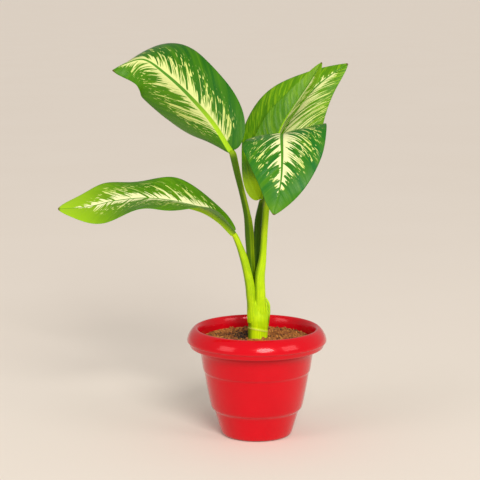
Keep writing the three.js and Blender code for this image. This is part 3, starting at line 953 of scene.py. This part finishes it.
def make_petiole(name, settings):
    leaf = Leaf(LEAVES[name])
    look = {**PLAIN_STALK, **PETIOLE_LOOKS[name]}
    route = leaf.petiole_route()
    foot, foot_radius = SHEATH_FEET[name]
    foot_length = (route.points[0] - Vector(foot)).length
    route = Route([foot, *route.points])
    _, _, normal, _ = leaf.frame(0)

    def above_foot(share):
        """The share of the stalk proper; below 0 in the sheath's foot."""
        return (share * route.length - foot_length) / (route.length - foot_length)

    def radius_at(share):
        own = above_foot(share)
        if own >= 0:
            return along(leaf.spec["radii"], own)
        down = smooth(0, 1, share * route.length / foot_length)
        return foot_radius + (leaf.spec["radii"][0] - foot_radius) * down

    def channel(share, turn):
        aside = (turn + 0.5) % 1 - 0.5
        deep = look["depth"] * (1 - 0.6 * smooth(look["sheath"] - 0.1, look["sheath"] + 0.1, share))
        return deep, bell(aside, CHANNEL_WIDTH)

    def place(share, turn):
        centre = route.at(share)
        forward = route.heading(share)
        to_axis = Vector((1 - centre.x, 0 - centre.y, 0)).normalized()
        inner, side = section_axes(forward, to_axis.lerp(normal, smooth(0.3, 1, share)))
        radius = radius_at(share)
        share = above_foot(share)
        deep, hollow = channel(share, turn)
        aside = (turn + 0.5) % 1 - 0.5
        wing = bell(aside - WING_PLACE, WING_WIDTH) + bell(aside + WING_PLACE, WING_WIDTH)
        wing *= WING_HEIGHT
        wing *= smooth(look["sheath"] + 0.02, look["sheath"] - 0.02, share) * smooth(-0.05, 0.1, share)
        radius *= 1 - deep * hollow + wing
        radius *= 1 - NECK_SLIMMING * smooth(0.97, 1, share)
        angle = math.tau * turn
        return centre + (inner * math.cos(angle) + side * math.sin(angle)) * radius

    # the first mark is painted shade, in the channel, on the shaded side and at both ends; the third is
    # the dry brown of the sheath's tip
    def mark(share, turn, point):
        leftward = (route.at(share).x - point.x) / radius_at(share)
        amount, lit_side, dark_side = look["shade"]
        shade = amount * smooth(lit_side, dark_side, leftward)
        share = above_foot(share)
        ends = smooth(0.45, 0.1, share) + smooth(0.6, 0.8, share)
        shade = max(shade, look["ends"] * ends * smooth(-1.2, -0.4, leftward))
        deep, hollow = channel(share, turn)
        aside = abs((turn + 0.5) % 1 - 0.5)
        tip = bell(share - look["sheath"], 0.012) * bell(aside - WING_PLACE, 0.05)
        return max(hollow * deep * 2.5, shade), 0, tip * look["dry"]

    bm = tube(PETIOLE_SIDES, PETIOLE_ROWS, place, mark)
    material = stem_green(f"petiole_green_{name}", settings, look["pale"], look["lit"], 1.0)
    add_piece(bm, f"stalk_{name}", material, "petiole_green", f"petiole_{name}")


# ---- the blades ----
BLADE_ROWS = 120
BLADE_COLUMNS = 56
INSET_LENGTH = 0.999  # keeps the smooth margin inside the faceted one
INSET_WIDTH = 0.968
KEEL_COLUMNS_SHARE = 0.18
MARGIN_THINNING = 0.6
GROOVE_DEPTH = 0.7
GROOVE_SLIMMING = 0.8
GROOVE_SHALLOWING = 0.6
VEIN_SPACING = 11
VEIN_BEND = 0.35


def blade_place(leaf, x, y):
    """Share of the length and of the half width for a point of the flat grid."""
    u = ((y + 1) / 2) ** ROW_CROWDING
    half = 0 if x < 0 else 1
    keel = min(KEEL_HALF_WIDTH * (1 - KEEL_SLIMMING * u) / leaf.half_width(u, half), KEEL_WIDEST)
    out = abs(x)
    if out < KEEL_COLUMNS_SHARE:
        out = keel * out / KEEL_COLUMNS_SHARE
    else:
        out = keel + (1 - keel) * (out - KEEL_COLUMNS_SHARE) / (1 - KEEL_COLUMNS_SHARE)
    return u, math.copysign(out, x)


def side_vein(leaf, slopes, u, v):
    """Where the side vein through a point leaves the midrib, and how far out the point is, in mm."""
    half = 0 if v < 0 else 1
    beside = abs(v) * leaf.half_width(u, half)
    return u * leaf.rib.length - beside * (slopes[half] + VEIN_BEND * abs(v)), beside


def from_rib(leaf, slimming, u, v):
    """0 on the midrib's middle line and 1 at its edge and beyond."""
    half = 0 if v < 0 else 1
    return min(abs(v) * leaf.half_width(u, half) / (KEEL_HALF_WIDTH * (1 - slimming * u)), 1)


def half_thickness(v):
    return BLADE_THICKNESS / 2 * (1 - MARGIN_THINNING * abs(v) ** 8)


def make_blade(name, settings):
    leaf = Leaf(LEAVES[name])
    marks = {**PLAIN_MARKS, **MARKINGS[name]}
    seed = marks["seed"] * 10
    bm = bmesh.new()
    place, span, away = [layer(bm, key) for key in ("place", "span", "away")]
    bmesh.ops.create_grid(bm, x_segments=BLADE_COLUMNS, y_segments=BLADE_ROWS, size=1)
    for vert in bm.verts:
        x, y, _ = vert.co
        u, v = blade_place(leaf, x, y)
        vein, beside = side_vein(leaf, marks["slope"], u, v)
        uneven = 0.9 * noise.noise(Vector((vein / 14, math.copysign(1, v), seed)))
        relief = -math.cos(math.tau * (vein / VEIN_SPACING + uneven))
        vert[place] = (u, v, 0)
        vert[span] = (vein, math.copysign(beside, v), relief)
        out = abs(v)
        envelope = smooth(0, 0.25, out) * smooth(1.02, 0.75, out) * math.sin(math.pi * u) ** 0.7
        ripple = 0.9 * noise.noise(Vector((u * 9, v * 1.5, seed))) * out**3 * (1 - out**4)
        ripple += 0.8 * noise.noise(Vector((vein / 16, beside / 40, seed + 3))) * out * (1 - out**4)
        normal = leaf.frame(u)[2]
        lift = settings.relief / MM * relief * envelope + ripple * math.sin(math.pi * u)
        vert.co = (leaf.point(u * INSET_LENGTH, v * INSET_WIDTH) + normal * lift) * MM
    bm.normal_update()
    facing = sum(v.normal.dot(leaf.frame(v[place][0])[2]) for v in bm.verts)
    for vert in bm.verts:
        vert[away] = vert.normal if facing > 0 else -vert.normal
    geometry = bm.verts[:] + bm.edges[:] + bm.faces[:]
    upper = bm.verts[:]
    made = bmesh.ops.extrude_face_region(bm, geom=geometry, use_keep_orig=True)["geom"]
    lower = [part for part in made if isinstance(part, bmesh.types.BMVert)]
    for vert in upper:
        u, v, _ = vert[place]
        t = from_rib(leaf, GROOVE_SLIMMING, u, v)
        groove = GROOVE_DEPTH * (1 - t * t) ** 2 * (1 - GROOVE_SHALLOWING * u)
        vert.co += vert[away] * (half_thickness(v) - groove) * MM
    for vert in lower:
        u, v, _ = vert[place]
        t = from_rib(leaf, KEEL_SLIMMING, u, v)
        keel = KEEL_DEPTH * (1 - KEEL_SHALLOWING * u) * (1 - t * t) ** 0.8
        vert.co -= vert[away] * (half_thickness(v) + keel) * MM
        vert[place] = (u, v, 1)
    material = blade_green(f"blade_green_{name}", settings, marks)
    add_piece(bm, f"leaf_{name}", material, "blade_green", f"blade_{name}")


# ---- settings that a user would change ----
def colour(name, description, default):
    return FloatVectorProperty(name=name, description=description, subtype="COLOR", size=3, min=0,
                               max=1, default=default)


class PotSettings(bpy.types.PropertyGroup):
    """The moulded planter."""

    red: colour("Red", "Colour of the plastic", (0.57, 0.001, 0.008))
    deep_red: colour("Deep red", "Darker patches of the plastic", (0.52, 0.001, 0.007))


class SoilSettings(bpy.types.PropertyGroup):
    """The coir potting mix."""

    # the painted shade of the hollow by the cane darkens the mix towards this colour
    dark: colour("Dark", "Damp mix in the hollows", (0.06, 0.018, 0.004))
    brown: colour("Brown", "Most of the mix", (0.3, 0.09, 0.014))
    tan: colour("Tan", "Dry chips and fibres", (0.54, 0.23, 0.048))
    chips: IntProperty(name="Chips", description="Number of coir chips", min=0, default=1900)
    fibres: IntProperty(name="Fibres", description="Number of coir fibres", min=0, default=500)


class StemSettings(bpy.types.PropertyGroup):
    """The cane and the leaf stalks."""

    lime: colour("Lime", "Lit green of the stems", (0.37, 0.6, 0.002))
    pale: colour("Pale", "Streaks in it", (0.6, 0.82, 0.004))
    # deep green is also the colour that the painted shade on the stems takes them to
    deep: colour("Deep green", "Older, shaded green", (0.03, 0.11, 0.003))
    scar: colour("Scar", "Leaf scars on the cane", (0.6, 0.52, 0.12))
    dry: colour("Dry", "Dried tips of the sheaths", (0.5, 0.32, 0.12))


class BladeSettings(bpy.types.PropertyGroup):
    """The variegated leaf blades."""

    relief: FloatProperty(name="Relief", description="How far the blade swells between veins",
                          unit="LENGTH", default=0.00022)
    deep_green: colour("Deep green", "Outer parts of the shaded halves", (0.014, 0.085, 0.001))
    # painted sheen: the bluish reflection painted on the deep green
    painted_sheen_green: colour("Cool green", "The bluer green of the oldest leaf", (0.002, 0.144, 0.017))
    bright_green: colour("Bright green", "Outer parts of the lit halves", (0.085, 0.25, 0.002))
    young_green: colour("Young green", "Tips and edges of the cream", (0.3, 0.52, 0.01))
    # lobe: partly the foot's own lime and partly painted light glowing through the lobe
    lobe: colour("Lobe", "The lime lobe at a blade's foot", (0.5, 0.78, 0.01))
    cream: colour("Cream", "The feathered markings", (0.56, 0.64, 0.17))
    white: colour("White", "The markings beside the midrib", (0.76, 0.78, 0.43))
    rib: colour("Midrib", "The midrib at its foot", (0.36, 0.62, 0.01))
    rib_tip: colour("Midrib tip", "The midrib further out", (0.07, 0.24, 0.012))
    under: colour("Underside", "The duller lower face", (0.09, 0.25, 0.03))
    under_pale: colour("Pale underside", "Its lighter patches", (0.17, 0.36, 0.06))


class StageSettings(bpy.types.PropertyGroup):
    """Floor, light and camera."""

    floor: colour("Floor", "The plain pale floor", (0.8, 0.74, 0.68))
    sky: colour("Surroundings", "The plain pale surroundings", (1.0, 0.93, 0.86))
    key: FloatProperty(name="Key light", description="Strength of the main light", min=0, default=2.45)
    fill: FloatProperty(name="Side panels", description="Power of the panel on each side",
                        unit="POWER", default=5.0)
    lens: FloatProperty(name="Lens", description="Focal length", unit="CAMERA", default=121.5)


# ---- operators ----
class PLANT_OT_pot(bpy.types.Operator):
    """Adds the red planter with its rolled lip and drain holes"""

    bl_idname = "plant.pot"
    bl_label = "Pot"

    def execute(self, context):
        make_pot(context.scene.plant_pot)
        return {"FINISHED"}


class PLANT_OT_soil(bpy.types.Operator):
    """Adds the coir potting mix with its chips and fibres"""

    bl_idname = "plant.soil"
    bl_label = "Potting mix"

    def execute(self, context):
        make_soil(context.scene.plant_soil)
        return {"FINISHED"}


class PLANT_OT_cane(bpy.types.Operator):
    """Adds the short cane with its leaf scars"""

    bl_idname = "plant.cane"
    bl_label = "Cane"

    def execute(self, context):
        make_cane(context.scene.plant_stems)
        return {"FINISHED"}


class PLANT_OT_petioles(bpy.types.Operator):
    """Adds the leaf stalks with their sheaths"""

    bl_idname = "plant.petioles"
    bl_label = "Leaf stalks"

    def execute(self, context):
        for name in LEAVES:
            make_petiole(name, context.scene.plant_stems)
        return {"FINISHED"}


class PLANT_OT_blades(bpy.types.Operator):
    """Adds the leaf blades with their cream markings"""

    bl_idname = "plant.blades"
    bl_label = "Leaf blades"

    def execute(self, context):
        for name in LEAVES:
            make_blade(name, context.scene.plant_blades)
        return {"FINISHED"}


class PLANT_OT_stage(bpy.types.Operator):
    """Adds the floor, the lights, the surroundings and the camera"""

    bl_idname = "plant.stage"
    bl_label = "Stage"

    def execute(self, context):
        make_stage(context.scene.plant_stage)
        return {"FINISHED"}


# places in metres
FLOOR_REACH = 60
WORLD_STRENGTH = 0.5
SUN_ANGLE = 25
SUN_PLACE = (0.4, -1.6, 1.2)
SUN_TINT = (1.0, 0.96, 0.88)
PANEL_SIDE = 0.7
PANEL_PLACES = {"left_panel": (-1.2, -0.9, 0.8), "right_panel": (1.3, -0.8, 0.9)}
PANEL_TINT = (1.0, 0.97, 0.92)
CAMERA_PLACE = (-0.018, -1.7, 0.49)
CAMERA_DIP = 9.3  # degrees below level
SENSOR_WIDTH = 36


def add_light(name, kind, energy, spread, place, tint):
    """A soft light aimed at the plant: spread is a panel's side or a sun's angle."""
    light = bpy.data.lights.new(name, kind)
    light.energy = energy
    if kind == "SUN":
        light.angle = spread
    else:
        light.size = spread
    light.color = tint
    lamp = linked(name, light)
    lamp.location = place
    lamp.rotation_euler = (PLANT_MIDDLE - Vector(place)).to_track_quat("-Z", "Y").to_euler()


def make_stage(settings):
    bm = bmesh.new()
    bmesh.ops.create_grid(bm, x_segments=1, y_segments=1, size=FLOOR_REACH)
    floor = linked("floor", finished_mesh(bm, "floor"))
    shader = Shader("floor")
    grain = shader.noise(shader.place(), 3.0)
    tone = shader.mix(grain * 0.1, settings.floor, (1.0, 1.0, 1.0))
    floor.data.materials.append(shader.surface(Base_Color=tone, Roughness=0.85))

    world = bpy.data.worlds.new("surroundings")
    world.use_nodes = True
    background = world.node_tree.nodes["Background"]
    background.inputs["Color"].default_value = (*settings.sky, 1)
    background.inputs["Strength"].default_value = WORLD_STRENGTH
    bpy.context.scene.world = world
    bpy.context.scene.view_settings.view_transform = "Standard"

    add_light("key", "SUN", settings.key, math.radians(SUN_ANGLE), SUN_PLACE, SUN_TINT)
    for name, place in PANEL_PLACES.items():
        add_light(name, "AREA", settings.fill, PANEL_SIDE, place, PANEL_TINT)

    camera = linked("camera", bpy.data.cameras.new("camera"))
    camera.data.sensor_width = SENSOR_WIDTH
    camera.data.lens = settings.lens
    camera.location = CAMERA_PLACE
    camera.rotation_euler = (math.radians(90 - CAMERA_DIP), 0, 0)
    bpy.context.scene.camera = camera


class PLANT_PT_pieces(bpy.types.Panel):
    """Lists the plant's pieces"""

    bl_label = "Potted dieffenbachia"
    bl_idname = "PLANT_PT_pieces"
    bl_space_type = "VIEW_3D"
    bl_region_type = "UI"
    bl_category = "Plant"

    def draw(self, context):
        for operator in OPERATORS:
            self.layout.operator(operator.bl_idname)


SETTINGS = {
    "plant_pot": PotSettings,
    "plant_soil": SoilSettings,
    "plant_stems": StemSettings,
    "plant_blades": BladeSettings,
    "plant_stage": StageSettings,
}
OPERATORS = (PLANT_OT_pot, PLANT_OT_soil, PLANT_OT_cane, PLANT_OT_petioles, PLANT_OT_blades,
             PLANT_OT_stage)


def register():
    for name, group in SETTINGS.items():
        bpy.utils.register_class(group)
        setattr(bpy.types.Scene, name, PointerProperty(type=group))
    for each in (*OPERATORS, PLANT_PT_pieces):
        bpy.utils.register_class(each)


def unregister():
    for each in (PLANT_PT_pieces, *reversed(OPERATORS)):
        bpy.utils.unregister_class(each)
    for name, group in SETTINGS.items():
        delattr(bpy.types.Scene, name)
        bpy.utils.unregister_class(group)


def main():
    register()
    bpy.ops.plant.pot()
    bpy.ops.plant.soil()
    bpy.ops.plant.cane()
    bpy.ops.plant.petioles()
    bpy.ops.plant.blades()
    bpy.ops.plant.stage()


if __name__ == "__main__":
    main()
